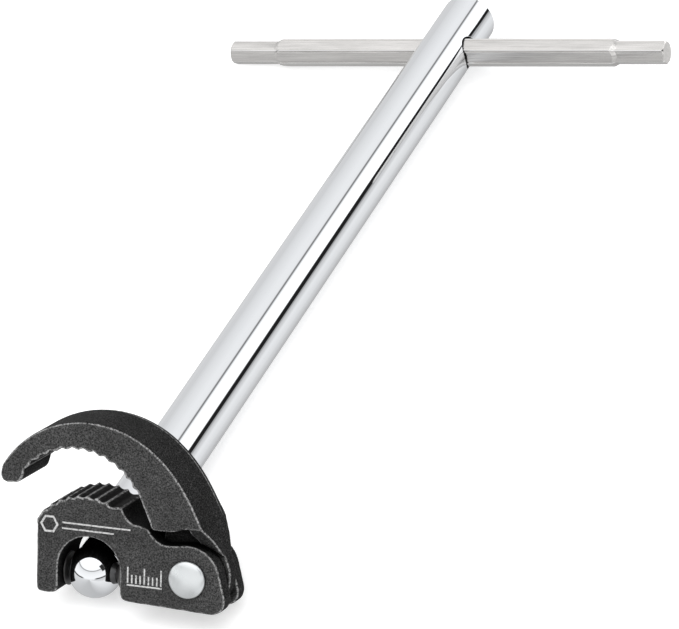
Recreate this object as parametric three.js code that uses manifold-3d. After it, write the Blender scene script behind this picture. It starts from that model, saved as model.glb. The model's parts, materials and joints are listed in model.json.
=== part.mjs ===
// Basin wrench: a hook jaw pivoting on a heel jaw, which swivels on a long tube with a sliding T-bar.
// Millimetres. The swivel pin lies near X, the shaft runs along Y from it to the origin, and +Z is the
// side that the hook jaw stands on.
import * as THREE from 'three';
import { mergeVertices } from 'three/addons/utils/BufferGeometryUtils.js';
import Module from 'manifold-3d';

const wasm = await Module();
wasm.setup();

// ---- Driving dimensions ----

const clearance = 0.3;         // gap left between pieces that lie face to face
const runningClearance = 0.1;  // radial gap of a pin in its hole

const shaft = {
  radius: 8, wall: 1.5,
  start: 13.5,                 // from the swivel pin's axis to the tube's near end
  end: 272.9,                  // and to its far end
};

const knuckle = {
  radius: 7, flat: 6.5,        // the ball nose, and the half distance between its two side flats
  shank: 6.35, end: 39.2,      // the shank that runs into the tube, and how far it goes
};

const head = {
  tilt: 23.6,                  // degrees the jaw plates lean back from square to the shaft
  skew: 3.5,                   // degrees the swivel pin is drilled off square to the shaft
  thickness: 15, hookThickness: 18,
  slot: 8.4, slotX: 1.1,       // half width of the slot that the knuckle swivels in, and its middle
  archHeight: 2.3,             // the slot's arch centre above the swivel pin
  legOutside: 13.2, foot: 5,   // the left leg's outer face, and the foot below the swivel pin
};

const swivelPin = { radius: 2.25, outerEnd: 12.9, innerEnd: 15.2 };
const washerRadius = 4.4;
const rollPin = { radius: 1.5, wall: 0.4, position: 19.5 };

const pivot = {
  x: 27.8, z: 2.8,             // the jaw rivet's axis, from the swivel pin
  earRadius: 8.7, forkGap: 5.2, forkRoot: 17,
  hubRadius: 9.7, hubThickness: 4.6,
  shoulder: 15,                // height of the hook's shoulders above the swivel pin
  rimTop: 16.3, rimEnd: 6.5,   // heights between which the hook's back rim narrows to the hub
  rimTip: 28,                  // degrees above X, seen from the rivet, where the rim's full width ends
  rimGrowth: 1.3,              // extra room round the ears there
};

const rivet = { shank: 3, headRadius: 4.9, headHeight: 1.7, tailRadius: 4.3, tailHeight: 1.2, rim: 0.3 };

const heelTeeth = { centreX: 0, centreZ: 5.7, radius: 15.8, first: 137, last: 59, count: 8, depth: 0.7 };
const hookTeeth = { centreX: -1.9, centreZ: 15.2, radius: 18.5, first: 141, last: 30, count: 12, depth: 0.7 };
const hookBack = { centreX: 0.6, centreZ: 12.6, radius: 28.6, swell: 3.1, taper: 1.3, first: 6.5, last: 147 };

const jawSpring = { coilRadius: 4.5, wire: 0.45, turns: 2, pitch: 1.05, legLength: 2.6, legAngle: 120 };
const springPocket = { radius: 5.3, depth: 3.5, slotRadius: 7.8, slotFrom: -13, slotTo: 45 };

const bar = {
  position: 253.5,             // along the shaft
  length: 139.6, endLength: 14.5,
  flats: 7.6, endFlats: 6.35,  // across flats, of the middle and of the stepped-down ends
  clock: 7.4,                  // degrees that the cross hole is turned from the swivel pin's direction
  roll: 11,                    // degrees that the hexagon is rolled in its round hole
  hole: 4.7, endChamfer: 0.6,
};

const plug = {
  radius: 6.35, length: 13.6, bore: 3.15, boreDepth: 10.4,
  face: shaft.end - 0.5,       // sunk a little inside the tube
};
const detent = {
  ball: 3, gap: 0.15,          // the ball's radius, and its gap to the bar
  coilRadius: 2.3, wire: 0.35, turns: 4.5,
  seat: 0.55,                  // how far the coil reaches down over the ball
};

const roundFacets = 64;
const middleFacets = 48;
const smallFacets = 32;
const beyond = 60;             // reach of a cutting body that has to pass every face

// ---- Materials ----

const castBlack = new THREE.MeshStandardMaterial({ color: 0x2c2c2e, roughness: 0.62, metalness: 0.35 });
const chrome = new THREE.MeshStandardMaterial({ color: 0xdfe2e6, roughness: 0.08, metalness: 1 });
const rivetSteel = new THREE.MeshStandardMaterial({ color: 0xd9dee0, roughness: 0.25, metalness: 0.9 });
const brightSteel = new THREE.MeshStandardMaterial({ color: 0xc4c1bb, roughness: 0.32, metalness: 1 });
const springSteel = new THREE.MeshStandardMaterial({ color: 0x8b8d90, roughness: 0.35, metalness: 1 });
const blackPlastic = new THREE.MeshStandardMaterial({ color: 0x1d1d1f, roughness: 0.5, metalness: 0 });

// ---- Solids ----

const radians = THREE.MathUtils.degToRad;

// A point at an angle in degrees on a circle.
function polar(centreX, centreY, radius, degrees) {
  const angle = radians(degrees);
  return new THREE.Vector2(centreX + radius * Math.cos(angle), centreY + radius * Math.sin(angle));
}

// Merges a closed geometry's vertices, drops its empty triangles and turns its faces outwards.
function closed(geometry) {
  const bare = new THREE.BufferGeometry();
  bare.setAttribute('position', geometry.getAttribute('position'));
  bare.setIndex(geometry.getIndex());
  const merged = mergeVertices(bare, 1e-3);
  const position = merged.getAttribute('position');
  const index = merged.getIndex().array;
  const corner = [new THREE.Vector3(), new THREE.Vector3(), new THREE.Vector3()];
  const kept = [];
  let volume = 0;
  for (let i = 0; i < index.length; i += 3) {
    const [a, b, c] = index.slice(i, i + 3);
    if (a === b || b === c || c === a) continue;
    [a, b, c].forEach((vertex, k) => corner[k].fromBufferAttribute(position, vertex));
    volume += corner[0].dot(corner[1].clone().cross(corner[2]));
    kept.push(a, b, c);
  }
  if (volume < 0) kept.reverse();
  merged.setIndex(kept);
  return merged;
}

function toSolid(geometry) {
  const shell = closed(geometry);
  return new wasm.Manifold(new wasm.Mesh({
    numProp: 3,
    vertProperties: new Float32Array(shell.getAttribute('position').array),
    triVerts: new Uint32Array(shell.getIndex().array),
  }));
}

function toGeometry(solid) {
  const { vertProperties, triVerts } = solid.getMesh();
  const geometry = new THREE.BufferGeometry();
  geometry.setAttribute('position', new THREE.BufferAttribute(vertProperties, 3));
  geometry.setIndex(new THREE.BufferAttribute(triVerts, 1));
  return geometry;
}

// A plate from a shape in the XY plane, centred on the middle height given along Z.
function plate(shape, thickness, middle = 0) {
  const settings = { depth: thickness, bevelEnabled: false, curveSegments: 12 };
  return new THREE.ExtrudeGeometry(shape, settings).translate(0, 0, middle - thickness / 2);
}

function cylinder(radius, length, facets = roundFacets) {
  return new THREE.CylinderGeometry(radius, radius, length, facets);
}

function box(lowX, highX, lowY, highY, lowZ, highZ) {
  const geometry = new THREE.BoxGeometry(highX - lowX, highY - lowY, highZ - lowZ);
  return geometry.translate((lowX + highX) / 2, (lowY + highY) / 2, (lowZ + highZ) / 2);
}

// A solid turned about Y from [radius, height] pairs.
function turned(profile, facets = roundFacets) {
  return closed(new THREE.LatheGeometry(profile.map(([r, y]) => new THREE.Vector2(r, y)), facets));
}

// Round wire along a path.
function wire(path, radius, steps) {
  const section = new THREE.Shape().absarc(0, 0, radius, 0, 2 * Math.PI);
  return closed(new THREE.ExtrudeGeometry(section, { steps, curveSegments: 4, extrudePath: path }));
}

class CoilPath extends THREE.Curve {
  constructor(radius, height, turns, startAngle) {
    super();
    Object.assign(this, { radius, height, turns, startAngle });
  }

  getPoint(t, target = new THREE.Vector3()) {
    const angle = this.startAngle + 2 * Math.PI * this.turns * t;
    return target.set(this.radius * Math.cos(angle), this.radius * Math.sin(angle), this.height * t);
  }
}

function piece(name, geometry, material) {
  const mesh = new THREE.Mesh(geometry, material);
  mesh.name = name;
  return mesh;
}

// ---- Shaft: the tube, the knuckle and its roll pin ----

function shaftTube() {
  const { radius, wall, start, end } = shaft;
  const bevel = 0.4;
  const inner = radius - wall;
  const tube = toSolid(turned([
    [inner, start], [radius - bevel, start], [radius, start + bevel],
    [radius, end - bevel], [radius - bevel, end], [inner, end], [inner, start],
  ]));
  const crossHole = cylinder(bar.hole, 3 * radius, smallFacets).rotateZ(Math.PI / 2)
    .rotateY(-radians(bar.clock)).translate(0, bar.position, 0);
  const pinHole = cylinder(rollPin.radius + runningClearance, 3 * radius, smallFacets).rotateX(Math.PI / 2)
    .translate(0, rollPin.position, 0);
  return toGeometry(tube.subtract(toSolid(crossHole)).subtract(toSolid(pinHole)));
}

function knuckleBall() {
  const { radius, flat, shank, end } = knuckle;
  const profile = [];
  const noseSteps = 16;
  const neckAngle = THREE.MathUtils.radToDeg(Math.acos(shank / radius));
  for (let i = 0; i <= noseSteps; i++) {
    const point = polar(0, 0, radius, -90 + (90 + neckAngle) * i / noseSteps);
    profile.push([Math.max(point.x, 0), point.y]);
  }
  profile.push([shank, end - 1], [shank - 1, end], [0, end]);
  let solid = toSolid(turned(profile));
  const reach = 2 * radius;
  for (const side of [-1, 1]) {
    const [low, high] = side < 0 ? [-reach, -flat] : [flat, reach];
    const beyondFlat = box(low, high, -reach, radius, -reach, reach).rotateZ(radians(head.skew));
    solid = solid.subtract(toSolid(beyondFlat));
  }
  const pinHole = cylinder(swivelPin.radius + runningClearance, 4 * radius, smallFacets)
    .rotateZ(Math.PI / 2 + radians(head.skew));
  const crossHole = cylinder(rollPin.radius + runningClearance, 4 * radius, smallFacets).rotateX(Math.PI / 2)
    .translate(0, rollPin.position, 0);
  return toGeometry(solid.subtract(toSolid(pinHole)).subtract(toSolid(crossHole)));
}

// A split spring pin across the tube, along Z.
function knuckleRollPin() {
  const { radius, wall, position } = rollPin;
  const length = 2 * shaft.radius - 1;
  const bore = cylinder(radius - wall, 2 * length, smallFacets);
  const split = box(0, 2 * radius, -length, length, -wall / 2, wall / 2);
  const pin = toSolid(cylinder(radius, length, smallFacets));
  return toGeometry(pin.subtract(toSolid(bore)).subtract(toSolid(split)))
    .rotateX(Math.PI / 2).translate(0, position, 0);
}

// ---- Head: drawn in the plane of the jaw plates, with Y up and Z towards the front face ----

function swivelPinRod() {
  const { radius, outerEnd, innerEnd } = swivelPin;
  const bevel = 0.5;
  return turned([
    [0, -outerEnd], [radius - bevel, -outerEnd], [radius, -outerEnd + bevel],
    [radius, innerEnd - bevel], [radius - bevel, innerEnd], [0, innerEnd],
  ], smallFacets).rotateZ(-Math.PI / 2);
}

// A plain washer in the left gap between knuckle and slot.
function swivelWasher() {
  const inner = swivelPin.radius + runningClearance;
  const from = knuckle.flat + clearance / 2;
  const to = head.slot - head.slotX - clearance;
  return turned([
    [inner, from], [washerRadius, from], [washerRadius, to], [inner, to], [inner, from],
  ], smallFacets).rotateZ(Math.PI / 2);
}

// A coned disc spring in the right gap, which gives the swivel its friction.
function swivelDiscSpring() {
  const inner = swivelPin.radius + runningClearance;
  const from = knuckle.flat + clearance / 2;
  const to = head.slot + head.slotX - clearance;
  const sheet = 1;
  return turned([
    [inner, from], [washerRadius, to - sheet], [washerRadius, to], [inner, from + sheet], [inner, from],
  ], smallFacets).rotateZ(-Math.PI / 2);
}

// Teeth with hollow flanks: from tip to tip along an arc, each flank dips towards the arc's centre.
function addHollowTeeth(shape, { centreX, centreZ, radius, first, last, count, depth }) {
  const steps = 6;
  for (let i = 0; i < count; i++) {
    for (let k = 1; k <= steps; k++) {
      const t = k / steps;
      const dip = depth * Math.sin(Math.PI * t);
      const tip = polar(centreX, centreZ, radius - dip, first + (last - first) * (i + t) / count);
      shape.lineTo(tip.x, tip.y);
    }
  }
}

// Ratchet teeth on the inside of an arc: a long slope in to the tip, then a short step back.
function addRatchetTeeth(shape, { centreX, centreZ, radius, first, last, count, depth }) {
  const slopeShare = 0.6;
  const toothAngle = (last - first) / count;
  for (let i = 0; i < count; i++) {
    const tip = polar(centreX, centreZ, radius - depth / 2, first + toothAngle * (i + slopeShare));
    const root = polar(centreX, centreZ, radius + depth / 2, first + toothAngle * (i + 1));
    shape.lineTo(tip.x, tip.y);
    shape.lineTo(root.x, root.y);
  }
}

function heelOutline() {
  const { slot, slotX, archHeight, legOutside, foot } = head;
  const { x, z, earRadius } = pivot;
  const shape = new THREE.Shape();
  shape.moveTo(-legOutside, 1.6 - foot);
  shape.lineTo(-legOutside, 13.9);
  const firstTip = polar(heelTeeth.centreX, heelTeeth.centreZ, heelTeeth.radius, heelTeeth.first);
  shape.lineTo(firstTip.x, firstTip.y);
  addHollowTeeth(shape, heelTeeth);
  shape.lineTo(9.8, 19.4);
  shape.quadraticCurveTo(10.7, 16.4, 13, 15.4);        // hollow behind the last tooth
  shape.quadraticCurveTo(15.7, 15.2, 17.1, 14.5);      // step before the ears
  shape.quadraticCurveTo(18.9, 11.2, 22, 10.9);        // dip
  const earStart = polar(x, z, earRadius, 105);
  shape.lineTo(earStart.x, earStart.y);
  shape.absarc(x, z, earRadius, radians(105), radians(15), true);
  shape.lineTo(37.9, -1.4);
  shape.quadraticCurveTo(38.2, -5.6, 33.7, -5.8);      // lower right corner
  shape.lineTo(slotX + slot + 2, -foot);
  shape.quadraticCurveTo(slotX + slot, -foot, slotX + slot, -2.4);
  shape.lineTo(slotX + slot, archHeight);
  shape.absarc(slotX, archHeight, slot, 0, Math.PI, false);
  shape.lineTo(slotX - slot, -2.8);
  shape.quadraticCurveTo(slotX - slot, -foot, slotX - slot - 2, -foot);
  shape.lineTo(-legOutside + 1.6, -foot);
  shape.quadraticCurveTo(-legOutside, -foot, -legOutside, 1.6 - foot);
  return shape;
}

function heelJaw() {
  const fork = box(pivot.forkRoot, beyond, -beyond, beyond, -pivot.forkGap / 2, pivot.forkGap / 2);
  const rivetHole = cylinder(rivet.shank + runningClearance, beyond, smallFacets).rotateX(Math.PI / 2)
    .translate(pivot.x, pivot.z, 0);
  // The pin's hole is blind: it comes in from the left leg and stops in the right one.
  const pinHole = cylinder(swivelPin.radius + runningClearance, beyond, smallFacets).rotateZ(Math.PI / 2)
    .translate(swivelPin.innerEnd + clearance - beyond / 2, 0, 0);
  return toGeometry(toSolid(plate(heelOutline(), head.thickness))
    .subtract(toSolid(fork)).subtract(toSolid(rivetHole)).subtract(toSolid(pinHole)));
}

function hookOutline() {
  const { x, z, hubRadius } = pivot;
  const back = hookBack;
  const shape = new THREE.Shape();
  const firstRoot = polar(hookTeeth.centreX, hookTeeth.centreZ, hookTeeth.radius, hookTeeth.first);
  shape.moveTo(firstRoot.x, firstRoot.y);
  addRatchetTeeth(shape, hookTeeth);
  shape.lineTo(18.2, 16.2);
  shape.quadraticCurveTo(18.5, 14.7, 19.9, 14.6);      // shoulder corner
  const hubLeft = polar(x, z, hubRadius, 165);
  shape.lineTo(hubLeft.x, hubLeft.y);
  shape.absarc(x, z, hubRadius, radians(165), radians(382), false);
  shape.lineTo(34.3, 12.6);
  const backStart = polar(back.centreX, back.centreZ, back.radius + back.swell, back.first);
  shape.lineTo(backStart.x, backStart.y);
  const backSteps = 36;
  for (let i = 1; i <= backSteps; i++) {
    const t = i / backSteps;
    // The back swells a little towards the hub, and draws in a little towards the nose.
    const radius = back.radius + back.swell * (1 - t) ** 8 - back.taper * t ** 2;
    const point = polar(back.centreX, back.centreZ, radius, back.first + (back.last - back.first) * t);
    shape.lineTo(point.x, point.y);
  }
  shape.quadraticCurveTo(-23.6, 23.6, -21.3, 23);      // blunt nose
  shape.lineTo(-17.9, 23.3);
  shape.quadraticCurveTo(-16.6, 23.9, firstRoot.x, firstRoot.y);
  return shape;
}

function hookJaw() {
  let solid = toSolid(plate(hookOutline(), head.hookThickness));
  // Below the shoulders only the hub's thin plate is left, so that the ears have room.
  const { hubThickness, shoulder, rimTop, rimEnd, rimTip, rimGrowth } = pivot;
  const earRoom = pivot.earRadius + 0.5;
  const tip = polar(pivot.x, pivot.z, earRoom + rimGrowth, rimTip);
  const knee = polar(pivot.x, pivot.z, earRoom, 2 * rimTip);
  const room = new THREE.Shape();
  room.moveTo(0, -beyond);
  room.lineTo(pivot.x + beyond, -beyond);
  room.lineTo(pivot.x + beyond, tip.y);
  room.lineTo(tip.x, tip.y);
  room.lineTo(knee.x, knee.y);
  room.absarc(pivot.x, pivot.z, earRoom, radians(2 * rimTip), radians(75), false);
  room.quadraticCurveTo(pivot.x + 1.5, shoulder, pivot.x - 2, shoulder);
  room.lineTo(0, shoulder - 0.5);
  for (const side of [-1, 1]) {
    solid = solid.subtract(toSolid(plate(room, beyond, side * (hubThickness + beyond) / 2)));
    // Round the back of the ears, the rim narrows in a hollow curve from the full thickness to the hub's.
    const taper = new THREE.Shape();
    taper.moveTo(side * head.hookThickness / 2, rimTop);
    taper.quadraticCurveTo(side * hubThickness, (rimTop + rimEnd) / 2 + 0.8, side * hubThickness / 2, rimEnd);
    taper.lineTo(side * hubThickness / 2, -beyond);
    taper.lineTo(side * beyond, -beyond);
    taper.lineTo(side * beyond, rimTop);
    const rimCut = plate(taper, beyond).rotateY(-Math.PI / 2);
    solid = solid.subtract(toSolid(rimCut.translate(pivot.x + beyond / 2, 0, 0)));
  }
  const hole = cylinder(rivet.shank + runningClearance, beyond, smallFacets).rotateX(Math.PI / 2);
  const pocket = new THREE.Shape();
  const { radius, depth, slotRadius } = springPocket;
  const slotFrom = radians(jawSpring.legAngle + springPocket.slotFrom);
  const slotTo = radians(jawSpring.legAngle + springPocket.slotTo);
  pocket.absarc(0, 0, slotRadius, slotFrom, slotTo, false);
  pocket.absarc(0, 0, radius, slotTo, slotFrom + 2 * Math.PI);
  const pocketMiddle = pivot.hubThickness / 2 - depth / 2 + clearance / 2;
  const springRoom = plate(pocket, depth + clearance, pocketMiddle);
  for (const cut of [hole, springRoom]) solid = solid.subtract(toSolid(cut.translate(pivot.x, pivot.z, 0)));
  return toGeometry(solid);
}

// The torsion spring that closes the hook: a coil round the rivet, with one straight leg outwards.
function jawTorsionSpring() {
  const { coilRadius, wire: wireRadius, turns, pitch, legLength, legAngle } = jawSpring;
  const legEnd = polar(0, 0, coilRadius + legLength, legAngle);
  const height = turns * pitch;
  const coil = new CoilPath(coilRadius, height, turns, radians(legAngle));
  const points = [new THREE.Vector3(legEnd.x, legEnd.y, 0)];
  const samples = 20 * turns;
  for (let i = 0; i <= samples; i++) points.push(coil.getPoint(i / samples));
  const path = new THREE.CatmullRomCurve3(points, false, 'centripetal');
  const floor = pivot.hubThickness / 2 - springPocket.depth;
  return wire(path, wireRadius, 2 * samples).translate(pivot.x, pivot.z, floor + wireRadius + clearance);
}

// Domed head at the front, peened tail at the back.
function jawRivet() {
  const { shank, headRadius, headHeight, tailRadius, tailHeight, rim } = rivet;
  const face = head.thickness / 2 + clearance / 2;
  const steps = 8;
  const dome = (radius, height) => {
    const curve = [];
    for (let i = 1; i <= steps; i++) {
      const angle = radians(90 * i / steps);
      curve.push([Math.max(radius * Math.cos(angle), 0), rim + (height - rim) * Math.sin(angle)]);
    }
    return curve;
  };
  const tail = dome(tailRadius, tailHeight).reverse().map(([r, h]) => [r, -face - h]);
  const front = dome(headRadius, headHeight).map(([r, h]) => [r, face + h]);
  const profile = [...tail, [tailRadius, -face - rim], [tailRadius, -face], [shank, -face],
    [shank, face], [headRadius, face], [headRadius, face + rim], ...front];
  return turned(profile, middleFacets).rotateX(Math.PI / 2).translate(pivot.x, pivot.z, 0);
}

// ---- T-bar and the parts that hold it ----

function hexagonalRod(flats, length) {
  const shape = new THREE.Shape();
  for (let i = 0; i < 6; i++) {
    const corner = polar(0, 0, flats / Math.sqrt(3), 60 * i + 30);
    if (i === 0) shape.moveTo(corner.x, corner.y);
    else shape.lineTo(corner.x, corner.y);
  }
  return plate(shape, length).rotateX(Math.PI / 2);
}

function tBar() {
  const { flats, endFlats, length, endLength, endChamfer } = bar;
  const corner = flats / Math.sqrt(3);
  const endCorner = endFlats / Math.sqrt(3);
  const middle = length / 2 - endLength;
  const cone = 2.4;
  const half = (side) => [
    [endCorner - endChamfer, side * length / 2], [endCorner, side * (length / 2 - endChamfer)],
  ];
  const turnedEnds = turned([[0, -length / 2], ...half(-1), ...half(1).reverse(), [0, length / 2]]);
  const turnedMiddle = turned([
    [0, -middle], [endFlats / 2, -middle], [corner, -middle + cone],
    [corner, middle - cone], [endFlats / 2, middle], [0, middle],
  ]);
  const ends = toSolid(hexagonalRod(endFlats, length)).intersect(toSolid(turnedEnds));
  const body = toSolid(hexagonalRod(flats, 2 * middle)).intersect(toSolid(turnedMiddle));
  return toGeometry(ends.add(body));
}

function endPlug() {
  const { radius, length, bore, boreDepth } = plug;
  const bevel = 0.6;
  return turned([
    [0, 0], [radius - bevel, 0], [radius, -bevel], [radius, bevel - length], [radius - bevel, -length],
    [bore, -length], [bore, boreDepth - length], [0, boreDepth - length],
  ], middleFacets).translate(0, plug.face, 0);
}

// Height of the ball's centre above the bar's axis, resting on the flat that faces it.
const ballHeight = (bar.flats / 2 + detent.ball + detent.gap) / Math.cos(radians(bar.roll));

function detentBall() {
  return closed(new THREE.SphereGeometry(detent.ball, 20, 12)).translate(0, bar.position + ballHeight, 0);
}

function detentSpring() {
  const { coilRadius, wire: wireRadius, turns, ball, seat } = detent;
  const low = bar.position + ballHeight + ball + wireRadius - seat;
  const high = plug.face - plug.length + plug.boreDepth - wireRadius - clearance;
  const path = new CoilPath(coilRadius, high - low, turns, 0);
  return wire(path, wireRadius, 72).rotateX(-Math.PI / 2).translate(0, low, 0);
}

// ---- Assembly ----

// Everything above is placed from the swivel pin; the wrench's own origin is the middle of the plug's face.
const wrench = new THREE.Group();
wrench.position.y = -plug.face;

wrench.add(
  piece('shaft_tube', shaftTube(), chrome),
  piece('knuckle', knuckleBall(), chrome),
  piece('knuckle_roll_pin', knuckleRollPin(), springSteel),
  piece('end_plug', endPlug(), blackPlastic),
  piece('detent_ball', detentBall(), springSteel),
  piece('detent_spring', detentSpring(), springSteel),
);

const jaws = new THREE.Group();
jaws.rotation.set(radians(90 - head.tilt), 0, radians(head.skew), 'ZYX');
jaws.add(
  piece('heel_jaw', heelJaw(), castBlack),
  piece('swivel_pin', swivelPinRod(), springSteel),
  piece('swivel_washer', swivelWasher(), springSteel),
  piece('swivel_disc_spring', swivelDiscSpring(), springSteel),
  piece('jaw_rivet', jawRivet(), rivetSteel),
  piece('jaw_spring', jawTorsionSpring(), springSteel),
  piece('hook_jaw', hookJaw(), castBlack),
);
wrench.add(jaws);

// The bar is made along its own Y with two flats facing X: it is laid along X, rolled, then clocked.
const handle = new THREE.Group();
handle.position.y = bar.position;
handle.rotation.y = -radians(bar.clock);
const tee = piece('t_bar', tBar(), brightSteel);
tee.rotation.set(-radians(bar.roll), 0, -Math.PI / 2);
handle.add(tee);
wrench.add(handle);

export default wrench;
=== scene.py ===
import json
import math

import bmesh
import bpy
import numpy as np
from mathutils import Matrix, Vector


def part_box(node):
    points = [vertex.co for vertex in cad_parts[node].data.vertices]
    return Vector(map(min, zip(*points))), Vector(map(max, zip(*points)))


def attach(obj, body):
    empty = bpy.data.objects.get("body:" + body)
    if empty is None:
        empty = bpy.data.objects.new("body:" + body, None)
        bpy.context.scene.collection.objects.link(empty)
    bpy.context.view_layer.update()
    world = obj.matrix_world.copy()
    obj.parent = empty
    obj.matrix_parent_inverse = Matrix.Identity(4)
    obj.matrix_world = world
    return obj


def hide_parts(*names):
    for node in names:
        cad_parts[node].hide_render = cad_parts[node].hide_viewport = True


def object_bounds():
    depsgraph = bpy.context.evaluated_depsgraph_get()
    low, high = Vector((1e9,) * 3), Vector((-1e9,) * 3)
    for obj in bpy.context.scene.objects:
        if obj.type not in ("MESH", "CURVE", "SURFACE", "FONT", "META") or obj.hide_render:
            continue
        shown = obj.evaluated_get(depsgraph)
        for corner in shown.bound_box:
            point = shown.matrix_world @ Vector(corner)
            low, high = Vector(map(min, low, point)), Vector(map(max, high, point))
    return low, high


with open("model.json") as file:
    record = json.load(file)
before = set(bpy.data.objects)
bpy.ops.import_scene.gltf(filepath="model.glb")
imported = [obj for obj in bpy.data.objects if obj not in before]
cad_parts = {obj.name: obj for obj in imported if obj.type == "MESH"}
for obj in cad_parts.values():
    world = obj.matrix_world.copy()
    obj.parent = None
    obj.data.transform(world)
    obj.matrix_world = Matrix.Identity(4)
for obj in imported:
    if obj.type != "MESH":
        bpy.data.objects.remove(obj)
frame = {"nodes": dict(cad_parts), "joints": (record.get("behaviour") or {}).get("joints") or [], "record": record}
cad_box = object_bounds()

MM = 0.001
JOINTS = {joint["name"]: joint for joint in frame["joints"]}

# The head's own axes: across along the swivel pin, front out of the plates' marked side, and up.
PIN = Vector(JOINTS["head_swivel"]["pos_m"])
ACROSS = Vector(JOINTS["head_swivel"]["axis"]).normalized()
FRONT = -Vector(JOINTS["hook_pivot"]["axis"]).normalized()
UP = FRONT.cross(ACROSS).normalized()
BAR_AXIS = Vector(JOINTS["bar_slide"]["axis"]).normalized()
# A flat of the bar's hexagon is its CAD mesh's largest face, and the bar's own axes follow from it.
BAR_FLAT = max(frame["nodes"]["t_bar"].data.polygons, key=lambda face: face.area).normal.normalized()
BAR_AXES = (BAR_AXIS, BAR_FLAT, BAR_AXIS.cross(BAR_FLAT))

# The main view, in degrees.
AZIMUTH, ELEVATION, ROLL = 26.0, 34.5, -7.4


# ---- Shader building blocks ----

class Shader:
    """A material's node tree, with short calls for the nodes that this file uses."""

    def __init__(self, tree):
        self.tree = tree
        tree.nodes.clear()

    def node(self, kind, inputs=None, **settings):
        made = self.tree.nodes.new(kind)
        for name, value in settings.items():
            setattr(made, name, value)
        for name, value in (inputs or {}).items():
            self.feed(made.inputs[name], value)
        return made

    def feed(self, socket, value):
        if isinstance(value, bpy.types.NodeSocket):
            self.tree.links.new(value, socket)
        else:
            socket.default_value = value

    def math(self, operation, first, second=0.0, clamp=False):
        made = self.node("ShaderNodeMath", operation=operation, use_clamp=clamp)
        self.feed(made.inputs[0], first)
        self.feed(made.inputs[1], second)
        return made.outputs[0]

    def noise(self, place, scale, detail, roughness):
        """Soft noise between 0 and 1, its scale in lumps to a metre."""
        made = self.node("ShaderNodeTexNoise", {"Vector": place, "Scale": scale, "Detail": detail,
                                                "Roughness": roughness})
        return made.outputs["Fac"]

    def remap(self, value, low, high, to_low=0.0, to_high=1.0):
        """The value carried straight from one range to another, and held within it."""
        made = self.node("ShaderNodeMapRange", {"Value": value, "From Min": low, "From Max": high,
                                                "To Min": to_low, "To Max": to_high})
        return made.outputs["Result"]

    def mix(self, share, first, second):
        """The first colour at a share of 0, the second at 1."""
        made = self.node("ShaderNodeMix", data_type="RGBA")
        self.feed(made.inputs["Factor"], share)
        self.feed(made.inputs["A"], first)
        self.feed(made.inputs["B"], second)
        return made.outputs["Result"]

    def stretched(self, place, scales):
        return self.node("ShaderNodeMapping", {"Vector": place, "Scale": scales}).outputs["Vector"]

    def bump(self, height, strength, distance):
        inputs = {"Height": height, "Strength": strength, "Distance": distance}
        return self.node("ShaderNodeBump", inputs).outputs["Normal"]

    def place(self):
        return self.node("ShaderNodeTexCoord").outputs["Object"]

    def turn_round_tube(self, direction):
        """Degrees that a direction is turned round the tube's axis, from +X towards +Z, and its parts."""
        parts = self.node("ShaderNodeSeparateXYZ", {"Vector": direction}).outputs
        return self.math("DEGREES", self.math("ARCTAN2", parts["Z"], parts["X"])), parts

    def levels(self, value, low, high, stops):
        """Grey levels that run straight from stop to stop, each a value and its level."""
        ramp = self.node("ShaderNodeValToRGB", {"Fac": self.remap(value, low, high)})
        elements = ramp.color_ramp.elements
        while len(elements) < len(stops):
            elements.new(0.5)
        for element, (at, level) in zip(elements, stops):
            element.position = (at - low) / (high - low)
            element.color = grey(level)
        return ramp.outputs["Color"]

    def dot(self, first, second):
        made = self.node("ShaderNodeVectorMath", operation="DOT_PRODUCT")
        self.feed(made.inputs[0], first)
        self.feed(made.inputs[1], second)
        return made.outputs["Value"]

    def along_bar(self):
        """The place as distances along the bar and in two directions across it."""
        place = self.place()
        parts = {name: self.dot(place, tuple(axis)) for name, axis in zip("XYZ", BAR_AXES)}
        return self.node("ShaderNodeCombineXYZ", parts).outputs["Vector"]

    def attribute(self, name):
        return self.node("ShaderNodeAttribute", attribute_name=name).outputs["Fac"]

    def open_sky(self, reach):
        """1 in the open, falling to 0 in a recess narrower than the reach."""
        return self.node("ShaderNodeAmbientOcclusion", {"Distance": reach}, samples=8).outputs["AO"]

    def finish(self, **inputs):
        surface = self.node("ShaderNodeBsdfPrincipled", {name.replace("_", " "): value
                                                         for name, value in inputs.items()})
        output = self.node("ShaderNodeOutputMaterial")
        self.tree.links.new(surface.outputs[0], output.inputs["Surface"])


def grey(value, warmth=0.0):
    return (value * (1 + warmth), value, value * (1 - warmth), 1.0)


def material(name, build):
    made = bpy.data.materials.new(name)
    made.use_nodes = True
    build(Shader(made.node_tree))
    return made


# ---- Materials ----

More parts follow.
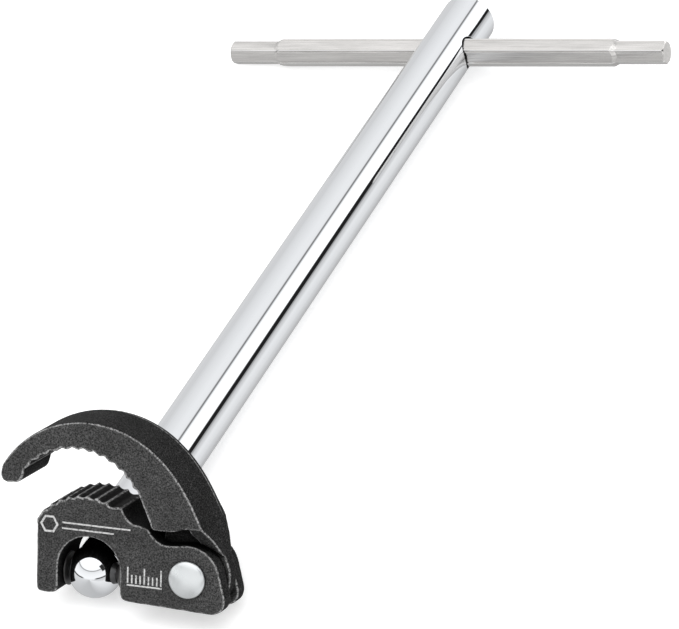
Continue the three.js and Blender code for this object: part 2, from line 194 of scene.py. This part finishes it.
def cast_black(s):
    """Sandy black coating over a casting, thin and worn grey on ridges, where the bare metal is also a painted
    highlight. Painted shade blackens it in recesses, in creases and round the sides, and painted light makes it
    paler where it faces the front.
    """
    place = s.place()
    grain = s.noise(place, scale=2700, detail=3, roughness=0.8)
    lumps = s.noise(place, scale=800, detail=3, roughness=0.6)
    cloud = s.noise(place, scale=120, detail=3, roughness=0.55)
    flecks = s.noise(place, scale=1700, detail=3, roughness=0.8)
    ridge = s.attribute("ridge")
    # Painted shade: the coat's colour and its sheen are darkened in recesses narrower than the reach, down to the
    # recess shade.
    recess_reach, recess_shade = 9 * MM, 0.10
    painted_recess_shade = s.remap(s.open_sky(recess_reach), 0.30, 0.80, recess_shade, 1.0)
    # Painted light: the coat is paler and its sheen stronger where it faces the front, and painted shade keeps it
    # black round the sides.
    facing = s.dot(s.node("ShaderNodeNewGeometry").outputs["Normal"], tuple(FRONT))
    painted_front_light = s.remap(facing, 0.55, 0.95)
    black_and_painted_shade, bare_metal_and_highlight = grey(0.003), grey(0.50)
    dark = s.mix(painted_front_light, black_and_painted_shade, grey(0.006))
    pale = s.mix(painted_front_light, grey(0.070), grey(0.105))
    speckles = s.mix(painted_front_light, s.remap(grain, 0.49, 0.61), s.remap(grain, 0.41, 0.68))
    coat = s.mix(speckles, dark, pale)
    coat = s.mix(s.remap(cloud, 0.35, 0.65, 0.0, 0.30), coat, dark)
    # Ridges, tooth tips and the lean's edge line are worn through to bare grey metal where the coat breaks: partly
    # wear, and partly a painted highlight along these edges.
    broken = s.remap(flecks, 0.40, 0.60, 0.0, 1.2)
    rubbed_and_highlight = s.math("MULTIPLY", s.remap(ridge, 0.07, 0.48), broken, clamp=True)
    # Painted shade: hollows and creases, where the ridge measure falls below zero, are painted black.
    coat = s.mix(s.remap(ridge, -0.05, -0.35), coat, black_and_painted_shade)
    worn = s.mix(s.math("MULTIPLY", rubbed_and_highlight, 0.8), coat, bare_metal_and_highlight)
    shade = s.node("ShaderNodeMix", data_type="RGBA", blend_type="MULTIPLY")
    s.feed(shade.inputs["Factor"], 1.0)
    s.feed(shade.inputs["A"], worn)
    s.feed(shade.inputs["B"], painted_recess_shade)
    height = s.math("ADD", s.math("MULTIPLY", grain, 0.8), s.math("MULTIPLY", lumps, 0.9))
    side_shine, front_shine = 0.03, 0.20
    s.finish(
        Base_Color=shade.outputs["Result"],
        Metallic=s.math("MULTIPLY", rubbed_and_highlight, 0.6),
        Roughness=s.remap(grain, 0.3, 0.7, 0.50, 0.72),
        Specular_IOR_Level=s.math("MULTIPLY", painted_recess_shade, s.remap(painted_front_light, 0.0, 1.0, side_shine, front_shine)),
        Normal=s.bump(height, strength=0.9, distance=0.16 * MM),
    )


def chrome(s):
    """Polished plate with hair-fine marks along the tube and a faint ripple."""
    place = s.place()
    hairs = s.noise(s.stretched(place, (3000, 60, 3000)), scale=1, detail=3, roughness=0.6)
    ripple = s.noise(s.stretched(place, (60, 12, 60)), scale=1, detail=1, roughness=0.5)
    s.finish(
        Base_Color=s.mix(ripple, (0.80, 0.82, 0.85, 1), (0.84, 0.855, 0.875, 1)),
        Metallic=1.0,
        Roughness=s.remap(hairs, 0.35, 0.7, 0.02, 0.045),
        Normal=s.bump(hairs, strength=0.02, distance=0.02 * MM),
    )


def bar_steel(s):
    """Drawn bright bar, brushed along its length, with cloudy handling marks."""
    place = s.along_bar()
    brush = s.noise(s.stretched(place, (60, 4200, 4200)), scale=1, detail=4, roughness=0.7)
    cloud = s.noise(s.stretched(place, (50, 350, 350)), scale=1, detail=3, roughness=0.6)
    tone = s.math("ADD", s.math("MULTIPLY", brush, 0.6), s.math("MULTIPLY", cloud, 0.4))
    s.finish(
        Base_Color=s.mix(s.remap(tone, 0.38, 0.62), grey(0.54, 0.02), grey(0.74, 0.02)),
        Metallic=1.0,
        Roughness=s.remap(brush, 0.3, 0.7, 0.13, 0.26),
        Normal=s.bump(brush, strength=0.12, distance=0.02 * MM),
    )


def bar_edge(s):
    """The bar's corners, burnished smooth by hands, and painted a paler metal than the flats as a highlight along
    the edges.
    """
    rub = s.noise(s.stretched(s.along_bar(), (200, 3000, 3000)), scale=1, detail=3, roughness=0.6)
    s.finish(
        Base_Color=s.mix(rub, grey(0.74, 0.01), grey(0.84)),
        Metallic=1.0,
        Roughness=s.remap(rub, 0.3, 0.7, 0.03, 0.09),
    )


def rivet_steel(s):
    """Satin plated rivet, tumbled, with a slight orange peel."""
    place = s.place()
    peel = s.noise(place, scale=1100, detail=2, roughness=0.5)
    cloud = s.noise(place, scale=220, detail=3, roughness=0.6)
    s.finish(
        Base_Color=s.mix(cloud, (0.70, 0.73, 0.74, 1), (0.82, 0.84, 0.85, 1)),
        Metallic=1.0,
        Roughness=s.remap(cloud, 0.3, 0.7, 0.26, 0.38),
        Normal=s.bump(peel, strength=0.12, distance=0.04 * MM),
    )


def pin_steel(s):
    """Hardened steel with a dark temper and fine turning marks."""
    place = s.place()
    rings = s.noise(place, scale=2400, detail=2, roughness=0.6)
    cloud = s.noise(place, scale=300, detail=3, roughness=0.6)
    s.finish(
        Base_Color=s.mix(cloud, grey(0.07), grey(0.15, 0.02)),
        Metallic=0.9,
        Roughness=s.remap(rings, 0.3, 0.7, 0.34, 0.52),
        Normal=s.bump(rings, strength=0.10, distance=0.03 * MM),
    )


def moulded_plastic(s):
    """Black moulded plug with a fine spark-eroded grain."""
    place = s.place()
    grain = s.noise(place, scale=1800, detail=3, roughness=0.6)
    s.finish(
        Base_Color=s.mix(s.noise(place, scale=160, detail=2, roughness=0.5), grey(0.016), grey(0.026)),
        Roughness=s.remap(grain, 0.3, 0.7, 0.42, 0.60),
        Normal=s.bump(grain, strength=0.35, distance=0.06 * MM),
    )


def etched_mark(s):
    """Pale grey laser mark that shows the casting's grain through it."""
    place = s.place()
    grain = s.noise(place, scale=2600, detail=2, roughness=0.7)
    broken = s.remap(s.noise(place, scale=1900, detail=2, roughness=0.7), 0.34, 0.5)
    s.finish(
        Base_Color=s.mix(broken, grey(0.16), grey(0.50)),
        Metallic=0.15,
        Roughness=0.6,
        Normal=s.bump(grain, strength=0.4, distance=0.08 * MM),
    )


def studio_floor(s):
    """Pale matt sweep. The camera sees it over-lit, with shadows left near the head. Metal sees it graded."""
    place = s.place()
    along = s.node("ShaderNodeSeparateXYZ", {"Vector": place}).outputs["Y"]
    fill_near_head, fill_beyond = 0.24, 0.40
    fill = s.remap(along, PIN.y - 20 * MM, PIN.y + 100 * MM, fill_near_head, fill_beyond)
    tone = s.mix(s.noise(place, scale=3, detail=2, roughness=0.5), grey(0.88), grey(0.92))
    matt = {"Roughness": 1.0, "Specular IOR Level": 0.0}
    seen = s.node("ShaderNodeBsdfPrincipled", {
        "Base Color": tone, "Emission Color": grey(1.0), "Emission Strength": fill, **matt})
    incoming = s.node("ShaderNodeNewGeometry").outputs["Incoming"]
    outward = s.node("ShaderNodeVectorMath", operation="SCALE")
    s.feed(outward.inputs[0], incoming)
    outward.inputs["Scale"].default_value = -1
    turn, _ = s.turn_round_tube(outward.outputs["Vector"])
    # Degrees round the tube's axis, all below the horizon, and the level that a bright surface mirrors there.
    graded = s.levels(turn, -180, 0, [
        (-180, 0.62), (-160, 0.56), (-123, 0.42), (-86, 0.38), (-68, 0.52), (-56, 0.60), (-45, 0.70),
        (-27, 0.78), (-19, 0.80), (-12, 0.62), (-4, 0.52), (0, 0.34),
    ])
    mirrored = s.node("ShaderNodeBsdfPrincipled", {
        "Base Color": grey(0.20), "Emission Color": graded, "Emission Strength": 0.88, **matt})
    ray = s.node("ShaderNodeLightPath").outputs["Is Camera Ray"]
    both = s.node("ShaderNodeMixShader", {"Fac": ray})
    s.feed(both.inputs[1], mirrored.outputs[0])
    s.feed(both.inputs[2], seen.outputs[0])
    output = s.node("ShaderNodeOutputMaterial")
    s.tree.links.new(both.outputs[0], output.inputs["Surface"])


MATERIALS = {
    "jaw_black": material("jaw_black_cast", cast_black),
    "tube_chrome": material("tube_chrome_plate", chrome),
    "bar_steel": material("bar_brushed_steel", bar_steel),
    "rivet_steel": material("rivet_satin_plate", rivet_steel),
    "pin_steel": material("pin_tempered_steel", pin_steel),
    "plug_plastic": material("plug_moulded_plastic", moulded_plastic),
}
BAR_EDGE = material("bar_edge_burnish_and_painted_highlight", bar_edge)
MARK = material("etched_mark", etched_mark)
FLOOR = material("studio_floor", studio_floor)


# ---- Pieces ----

SLOTS = {part["node"]: part["material_slot"] for part in frame["record"]["subparts"]}
BODY_OF = {node: body for body, nodes in frame["record"]["behaviour"]["bodies"].items() for node in nodes}


MERGE_DISTANCE = 0.0005 * MM
SMOOTH_ANGLE = math.radians(32)     # facets that meet at less are one curved surface
FLAT_ANGLE = math.radians(0.8)      # facets that meet at less are one flat face


def edge_angle(edge):
    return edge.calc_face_angle(0.0) if len(edge.link_faces) == 2 else 0.0


def stand_in(node, mesh):
    """Shows a finished mesh in place of a CAD node, on the node's body and in its material slot."""
    piece = bpy.data.objects.new(node + "_finished", mesh)
    bpy.context.scene.collection.objects.link(piece)
    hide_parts(node)
    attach(piece, BODY_OF[node])
    return piece


def refined(node, width, segments=2):
    """A finer stand-in for a CAD node: its facets merged, its edges rounded, its curves shaded smooth."""
    source = frame["nodes"][node]
    mesh = bpy.data.meshes.new(node + "_surface")
    shell = bmesh.new()
    shell.from_mesh(source.data)
    bmesh.ops.remove_doubles(shell, verts=shell.verts, dist=MERGE_DISTANCE)
    bmesh.ops.dissolve_limit(shell, angle_limit=FLAT_ANGLE, verts=shell.verts, edges=shell.edges)
    for face in shell.faces:
        face.smooth = True
    weights = shell.edges.layers.float.new("bevel_weight_edge")
    for edge in shell.edges:
        if edge_angle(edge) > SMOOTH_ANGLE:
            edge[weights] = 1
    shell.to_mesh(mesh)
    shell.free()
    mesh.materials.append(MATERIALS[SLOTS[node]])
    piece = stand_in(node, mesh)
    bevel = piece.modifiers.new("rounded_edges", "BEVEL")
    bevel.width = width
    bevel.segments = segments
    bevel.limit_method = "WEIGHT"
    bevel.use_clamp_overlap = False
    bevel.miter_outer = "MITER_ARC"
    normals = piece.modifiers.new("even_shading", "WEIGHTED_NORMAL")
    normals.keep_sharp = True
    mesh.set_sharp_from_angle(angle=SMOOTH_ANGLE)


def relaxed(points, edges, share, rounds):
    """Points drawn towards the middle of their neighbours, each by its own share, a number of times."""
    first, second = edges[:, 0], edges[:, 1]
    ends, others = np.concatenate((first, second)), np.concatenate((second, first))
    count = np.bincount(ends, minlength=len(points))
    for _ in range(rounds):
        sums = [np.bincount(ends, points[others, k], len(points)) for k in range(3)]
        middle = np.stack(sums, axis=1) / count[:, None]
        points = points + share[:, None] * (middle - points)
    return points


CELL = 0.24     # millimetres, the size of the small quads in a casting's skin


def even_skin(node):
    """A CAD node's solid under an even skin of small quads, in millimetres."""
    shell = bmesh.new()
    shell.from_mesh(frame["nodes"][node].data)
    bmesh.ops.remove_doubles(shell, verts=shell.verts, dist=MERGE_DISTANCE)
    bmesh.ops.scale(shell, vec=(1 / MM,) * 3, verts=shell.verts)
    solid = bpy.data.meshes.new(node + "_solid")
    shell.to_mesh(solid)
    shell.free()
    block = bpy.data.objects.new(node + "_block", solid)
    bpy.context.scene.collection.objects.link(block)
    remesh = block.modifiers.new("even_skin", "REMESH")
    remesh.mode = "VOXEL"
    remesh.voxel_size = CELL
    skin = bpy.data.meshes.new_from_object(block.evaluated_get(bpy.context.evaluated_depsgraph_get()))
    bpy.data.objects.remove(block)
    return skin


# ---- The jaws: millimetres in the head's axes (across, up, front), from the swivel pin ----

BACK_CENTRE = (0.6, 12.6)       # the centre of the arc that the hook's back follows
TOOTH_CENTRE = (-1.9, 15.2)     # the centre of the hook's tooth circle
HAIR_FINE = 0.04                # rounding of the teeth, where 1 is the broadest


def round_the_back(across, up):
    """The angle in degrees and the reach of places on the hook, round the centre of its back's arc."""
    across, up = across - BACK_CENTRE[0], up - BACK_CENTRE[1]
    return np.degrees(np.arctan2(up, across)), np.hypot(across, up)


def leaned_in(placed):
    """The hook's points, its back leaning in towards the rear face, and how near the lean's edge each is."""
    across, up, front = placed.T
    turn, reach = round_the_back(across, up)
    depth, width = 0.6, 2.6
    back_start, back_end, step, half_slot = -10, 151, 2.5, 2
    slots = np.arange(back_start, back_end, step)
    reaches = [reach[(turn > at - half_slot) & (turn < at + half_slot)].max() for at in slots]
    rim = np.interp(turn, slots, reaches)
    off_rear = front - front.min()
    # The lean fades out above the ears and at the nose, over some degrees.
    ears, ears_fade, nose, nose_fade = 4, 10, 146, 12
    fade = np.clip((turn - ears) / ears_fade, 0, 1) * np.clip((nose - turn) / nose_fade, 0, 1)
    near_rim = np.clip(1 - (rim - reach) / (4 * depth), 0, 1)
    cut = depth * np.clip(1 - off_rear / width, 0, 1) * fade * near_rim
    out = placed.copy()
    out[:, 0] -= cut * (across - BACK_CENTRE[0]) / reach
    out[:, 1] -= cut * (up - BACK_CENTRE[1]) / reach
    # The shoulder beside the ears rises to the back in one smooth run.
    start, length, end = 23.5, 4.3, 28.2
    under, height, rise = 14.4, 14.95, 1.15
    along = np.clip((across - start) / length, 0, 1)
    run = height + rise * along ** 2 * (3 - 2 * along)
    low = (across > start) & (across < end) & (up > under) & (up < run)
    out[low, 1] = run[low]
    skin, line_width = 0.5, 0.3
    return out, fade * (rim - reach < skin) * np.exp(-((off_rear - width) / line_width) ** 2)


def heel_rounding(across, up, front):
    """Hair-fine on the teeth, broad round the outline and in the fork."""
    teeth_from, teeth_to = 13, 9.5      # up, across
    broad = 0.8
    teeth = (up > teeth_from) & (across < teeth_to)
    return np.where(teeth, HAIR_FINE, broad)


def hook_rounding(across, up, front):
    """Hair-fine on the teeth, crisp along the back's front edge, broader at its crown and along its rear."""
    beyond_teeth, teeth_from = 20.5, 15.5
    reach = np.hypot(across - TOOTH_CENTRE[0], up - TOOTH_CENTRE[1])
    teeth = (reach < beyond_teeth) & (up > teeth_from)
    crown_start, crown_fade = 35, 30    # degrees
    crown = np.clip((round_the_back(across, up)[0] - crown_start) / crown_fade, 0, 1)
    crisp, crown_extra, rear = 0.35, 0.5, 0.6
    return np.where(teeth, HAIR_FINE, np.where(front > 0, crisp + crown_extra * crown, rear))


def casting(node, rounding_of, shaped=None):
    """A cast jaw: an even skin relaxed until its edges are round, marked with how far it is a ridge."""
    mesh = even_skin(node)
    count = len(mesh.vertices)
    points = np.empty(count * 3)
    mesh.vertices.foreach_get("co", points)
    points = points.reshape(-1, 3)
    edges = np.empty(len(mesh.edges) * 2, dtype=int)
    mesh.edges.foreach_get("vertices", edges)
    edges = edges.reshape(-1, 2)
    normals = np.empty(count * 3)
    mesh.vertices.foreach_get("normal", normals)
    normals = normals.reshape(-1, 3)
    axes = np.array([ACROSS, UP, FRONT])
    placed = (points - np.array(PIN) / MM) @ axes.T
    rounding = rounding_of(*placed.T)
    line = np.zeros(count)
    if shaped:
        placed, line = shaped(placed)
        points = placed @ axes + np.array(PIN) / MM
    probe_share, probe_rounds = 0.5, 10
    probe = relaxed(points, edges, np.full(count, probe_share), probe_rounds)
    # Teeth are worn bright along their tips, and painted with a highlight there too, though these stand up less
    # than the outline's square edges.
    tooth_gain, line_gain = 2.2, 0.35
    gain = np.where(rounding == HAIR_FINE, tooth_gain, 1)
    ridge = ((points - probe) * normals).sum(axis=1) / CELL * gain + line_gain * line
    # A light pass takes the steps out of the skin, and a long one rounds the edges.
    step_share, step_rounds, edge_share, edge_rounds = 0.35, 2, 0.5, 26
    points = relaxed(points, edges, np.full(count, step_share), step_rounds)
    points = relaxed(points, edges, edge_share * rounding, edge_rounds)
    mesh.vertices.foreach_set("co", (points * MM).ravel())
    mesh.attributes.new("ridge", "FLOAT", "POINT").data.foreach_set("value", ridge)
    mesh.shade_smooth()
    mesh.materials.clear()
    mesh.materials.append(MATERIALS[SLOTS[node]])
    mesh.update()
    stand_in(node, mesh)


# ---- The bar ----

def rounded_hexagon(flats, corner_radius, turn):
    """How far a hexagon with rounded corners reaches, at an angle in degrees from one of its corners."""
    off_corner = math.radians((turn + 30) % 60 - 30)
    straight = flats / 2 / math.cos(math.radians(30) - abs(off_corner))
    centre = (flats / 2 - corner_radius) / math.cos(math.radians(30))
    beyond = corner_radius ** 2 - (centre * math.sin(off_corner)) ** 2
    if beyond < 0:
        return straight
    return min(straight, centre * math.cos(off_corner) + math.sqrt(beyond))


def hexagonal_bar():
    """The T-bar as one clean loft: hexagons with worn corners, turned cones to thinner ends, turned tips."""
    source = frame["nodes"]["t_bar"].data
    centre = sum((Vector(corner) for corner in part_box("t_bar")), Vector()) / 2
    half_length = max((vertex.co - centre).dot(BAR_AXIS) for vertex in source.vertices) / MM
    flats, end_flats, corner_radius = 7.6, 6.35, 0.35
    end_length, cone, chamfer = 14.5, 2.4, 0.6
    middle = half_length - end_length
    corner, end_corner = flats / math.sqrt(3), end_flats / math.sqrt(3)
    cone_steps, tip_steps = 14, 6
    reaches = [0.0] + [middle - cone * (1 - k / cone_steps) for k in range(cone_steps + 1)]
    reaches += [half_length - chamfer * (1 - k / tip_steps) for k in range(tip_steps + 1)]
    stations = [-x for x in reversed(reaches)] + reaches[1:]
    # Degrees from a corner, close together round it and wider apart along the flat.
    near_corner = [0, 0.7, 1.4, 2.1]
    steps = near_corner + list(range(5, 60, 5)) + [60 - step for step in near_corner[:0:-1]]
    turns = [60 * k + step for k in range(6) for step in steps]

    def reach(along, turn):
        depth = middle - abs(along)
        tip = end_corner - chamfer + half_length - abs(along)
        thin = min(rounded_hexagon(end_flats, corner_radius, turn), tip)
        if depth <= 0:
            return thin
        turned = min(corner, end_flats / 2 + (corner - end_flats / 2) * depth / cone)
        return max(thin, min(rounded_hexagon(flats, corner_radius, turn), turned))

    shell = bmesh.new()
    rings = []
    for along in stations:
        ring = []
        for turn in turns:
            angle = math.radians(turn + 30)     # a corner lies 30 degrees from the middle of a flat
            across = BAR_AXES[1] * math.cos(angle) + BAR_AXES[2] * math.sin(angle)
            ring.append(shell.verts.new(centre + (BAR_AXIS * along + across * reach(along, turn)) * MM))
        rings.append(ring)
    count = len(turns)
    for low, high in zip(rings, rings[1:]):
        for k in range(count):
            face = shell.faces.new((low[k], low[(k + 1) % count], high[(k + 1) % count], high[k]))
            face.smooth = True
            # Faces at the corners take the edge material, with its painted highlight.
            at_corner = min(turns[k] % 60, 60 - turns[k] % 60) < near_corner[-1]
            face.material_index = 1 if at_corner else 0
    shell.faces.new(rings[0][::-1])
    shell.faces.new(rings[-1])
    bmesh.ops.recalc_face_normals(shell, faces=shell.faces)
    mesh = bpy.data.meshes.new("t_bar_loft")
    shell.to_mesh(mesh)
    shell.free()
    mesh.materials.append(MATERIALS[SLOTS["t_bar"]])
    mesh.materials.append(BAR_EDGE)
    sharp_angle = math.radians(24)
    mesh.set_sharp_from_angle(angle=sharp_angle)
    stand_in("t_bar", mesh)


# ---- Every piece in its finished form ----

casting("heel_jaw", heel_rounding)
casting("hook_jaw", hook_rounding, leaned_in)
refined("shaft_tube", 0.15 * MM)
refined("knuckle", 0.08 * MM)
hexagonal_bar()
refined("jaw_rivet", 0.1 * MM)
for small in ("swivel_pin", "swivel_washer", "swivel_disc_spring", "knuckle_roll_pin", "end_plug",
              "detent_ball", "detent_spring", "jaw_spring"):
    refined(small, 0.05 * MM, segments=1)


# ---- Marks on the heel's front face ----

MARK_SUNK, MARK_PROUD = 7.44, 7.54      # millimetres in front of the swivel pin. The face itself is at 7.5.
LINE = 0.4                              # millimetres, the width of a drawn line


def add_band(shell, outer, inner):
    """A closed flat ring between two outlines of as many (across, up) points each."""
    count = len(outer)
    sides = ((outer, MARK_SUNK), (outer, MARK_PROUD), (inner, MARK_PROUD), (inner, MARK_SUNK))
    loops = [[shell.verts.new(PIN + (ACROSS * x + UP * y + FRONT * z) * MM) for x, y in outline]
             for outline, z in sides]
    for low, high in zip(loops, loops[1:] + loops[:1]):
        for k in range(count):
            shell.faces.new((low[k], low[(k + 1) % count], high[(k + 1) % count], high[k]))


def add_stroke(shell, left, low, right, high):
    """A closed flat bar between two places across the face and two places up it."""
    corners = [(left, low), (right, low), (right, high), (left, high)]
    rings = [[shell.verts.new(PIN + (ACROSS * x + UP * y + FRONT * z) * MM) for x, y in corners]
             for z in (MARK_SUNK, MARK_PROUD)]
    shell.faces.new(rings[0][::-1])
    shell.faces.new(rings[1])
    for k in range(4):
        shell.faces.new((rings[0][k], rings[0][(k + 1) % 4], rings[1][(k + 1) % 4], rings[1][k]))


def mark(name, draw):
    shell = bmesh.new()
    draw(shell)
    bmesh.ops.recalc_face_normals(shell, faces=shell.faces)
    mesh = bpy.data.meshes.new(name)
    shell.to_mesh(mesh)
    shell.free()
    mesh.materials.append(MARK)
    piece = bpy.data.objects.new(name, mesh)
    bpy.context.scene.collection.objects.link(piece)
    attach(piece, "head")


def hexagon(x, y, radius):
    return [(x + radius * math.cos(math.radians(60 * k)), y + radius * math.sin(math.radians(60 * k)))
            for k in range(6)]


def draw_nut_sign(shell):
    """A plain hexagon outline with two pinstripes running from it."""
    x, y = -9.7, 13.1
    outer, inner = 2.5, 1.9
    add_band(shell, hexagon(x, y, outer), hexagon(x, y, inner))
    left = -6.2
    for offset, length in ((0.55, 18.5), (-0.95, 14.0)):
        add_stroke(shell, left, y + offset, left + length, y + offset + LINE)


def draw_scale(shell):
    """A short row of ticks on a base line."""
    left, right, base, ticks = 11.6, 21.0, -0.6, 9
    tall, short, tall_every, lift = 4.2, 2.2, 4, 0.7
    add_stroke(shell, left, base, right, base + LINE)
    step = (right - left - LINE) / (ticks - 1)
    for k in range(ticks):
        height = short if k % tall_every else tall
        add_stroke(shell, left + k * step, base + lift, left + k * step + LINE, base + lift + height)


mark("heel_mark_nut_sign", draw_nut_sign)
mark("heel_mark_scale", draw_scale)


# ---- Studio ----

def make_floor():
    low = cad_box[0].z
    size = 3.0
    mesh = bpy.data.meshes.new("floor")
    mesh.from_pydata([(-size, -size, low), (size, -size, low), (size, size, low), (-size, size, low)], [],
                     [(0, 1, 2, 3)])
    floor = bpy.data.objects.new("floor", mesh)
    mesh.materials.append(FLOOR)
    bpy.context.scene.collection.objects.link(floor)


def view_back(azimuth, elevation):
    """The direction from the object back to a viewer at an azimuth and elevation in degrees."""
    a, e = math.radians(azimuth), math.radians(elevation)
    return Vector((math.sin(a) * math.cos(e), -math.cos(a) * math.cos(e), math.sin(e)))


def view_right(azimuth):
    """The level direction to the right for a viewer at an azimuth in degrees."""
    a = math.radians(azimuth)
    return Vector((math.cos(a), math.sin(a), 0))


def toward(right, up, back):
    """A direction given in the main view's own axes."""
    camera_back, level_right = view_back(AZIMUTH, ELEVATION), view_right(AZIMUTH)
    return (level_right * right + camera_back.cross(level_right) * up + camera_back * back).normalized()


# The dark gap that the ball nose mirrors: the direction of its middle, and the two directions that it spans.
GAP = toward(0.57, 0.19, 0.80)
GAP_ACROSS = GAP.cross(toward(0.5, -0.8, 0.0)).normalized()
GAP_UP = GAP.cross(GAP_ACROSS)


def near(s, direction, axis, low, high):
    """1 where a direction's share along an axis lies between two values, with soft borders."""
    soft = 0.02
    share = s.dot(direction, tuple(axis))
    above = s.remap(share, low - soft, low + soft)
    below = s.remap(share, high + soft, high - soft)
    return s.math("MULTIPLY", above, below)


def make_world():
    """White for the camera, even for matt surfaces, banded round the tube's axis for bright metal."""
    world = bpy.data.worlds.new("studio")
    world.use_nodes = True
    bpy.context.scene.world = world
    s = Shader(world.node_tree)
    ray = s.node("ShaderNodeLightPath").outputs
    direction = s.node("ShaderNodeTexCoord").outputs["Generated"]
    turn, parts = s.turn_round_tube(direction)
    # Degrees round the tube's axis, and the level there.
    bands = s.levels(turn, -180, 180, [
        (-180, 0.46), (-8, 0.28), (3, 0.28), (5.5, 0.01), (19, 0.01), (21.5, 0.9), (27, 1.0), (57, 1.0),
        (67, 0.60), (70.5, 0.14), (73.5, 0.14), (77, 0.60), (85, 0.62), (100, 0.615), (125, 0.565),
        (145, 0.52), (160, 0.46), (180, 0.46),
    ])
    # The bands serve the tube, which mirrors what lies behind it. In front is one white tent with a dark gap.
    behind = s.remap(parts["Y"], 0.0, 0.6)
    tent = s.levels(parts["Z"], -0.1, 1.0, [
        (-0.1, 0.30), (0.0, 0.60), (0.1, 0.72), (0.4, 0.66), (0.55, 0.58), (0.57, 0.22), (0.6, 0.22),
        (0.62, 0.72), (1.0, 0.95),
    ])
    aside = s.remap(s.math("ABSOLUTE", parts["X"]), 0.35, 0.5)
    horizon_height, gap_width, gap_height = 0.09, 0.15, 0.22
    horizon = s.math("MULTIPLY", aside, near(s, direction, (0, 0, 1), 0.0, horizon_height))
    gap = s.math("MULTIPLY", near(s, direction, GAP_ACROSS, -gap_width, gap_width),
                 near(s, direction, GAP_UP, -gap_height, gap_height))
    gap = s.math("MULTIPLY", gap, s.remap(parts["Y"], 0.0, -0.1))
    dark = s.math("MAXIMUM", horizon, gap)
    shown = s.mix(behind, s.mix(dark, tent, grey(0.02)), bands)
    mirrored_strength, soft_strength, seen_strength = 1.6, 0.62, 1.0
    gloss = s.node("ShaderNodeBackground", {"Color": shown, "Strength": mirrored_strength})
    soft = s.node("ShaderNodeBackground", {"Color": grey(1.0), "Strength": soft_strength})
    seen = s.node("ShaderNodeBackground", {"Color": grey(1.0), "Strength": seen_strength})
    lit = s.node("ShaderNodeMixShader", {"Fac": ray["Is Glossy Ray"]})
    s.feed(lit.inputs[1], soft.outputs[0])
    s.feed(lit.inputs[2], gloss.outputs[0])
    out = s.node("ShaderNodeMixShader", {"Fac": ray["Is Camera Ray"]})
    s.feed(out.inputs[1], lit.outputs[0])
    s.feed(out.inputs[2], seen.outputs[0])
    final = s.node("ShaderNodeOutputWorld")
    s.tree.links.new(out.outputs[0], final.inputs["Surface"])


def make_light(name, aim, azimuth, elevation, distance, size, power):
    data = bpy.data.lights.new(name, "AREA")
    data.shape = "DISK"
    data.size = size
    data.energy = power
    light = bpy.data.objects.new(name, data)
    bpy.context.scene.collection.objects.link(light)
    back = view_back(azimuth, elevation)
    light.location = aim + back * distance
    light.rotation_euler = back.to_track_quat("Z", "Y").to_euler()
    light.visible_glossy = False


def make_camera():
    aim = PIN + Vector((12.5, 133.9, -10.3)) * MM
    distance = 1.28
    data = bpy.data.cameras.new("camera")
    data.sensor_width = 36
    data.lens = 246
    camera = bpy.data.objects.new("camera", data)
    bpy.context.scene.collection.objects.link(camera)
    back = view_back(AZIMUTH, ELEVATION)
    right = Matrix.Rotation(math.radians(ROLL), 3, back) @ view_right(AZIMUTH)
    up = back.cross(right)
    camera.matrix_world = Matrix.LocRotScale(
        aim + back * distance, Matrix((right, up, back)).transposed().to_quaternion(), None)
    bpy.context.scene.camera = camera


make_floor()
make_world()
make_light("key", aim=PIN / 2, azimuth=15, elevation=48, distance=1.6, size=1.5, power=26)
make_camera()
bpy.context.scene.view_settings.view_transform = "Standard"
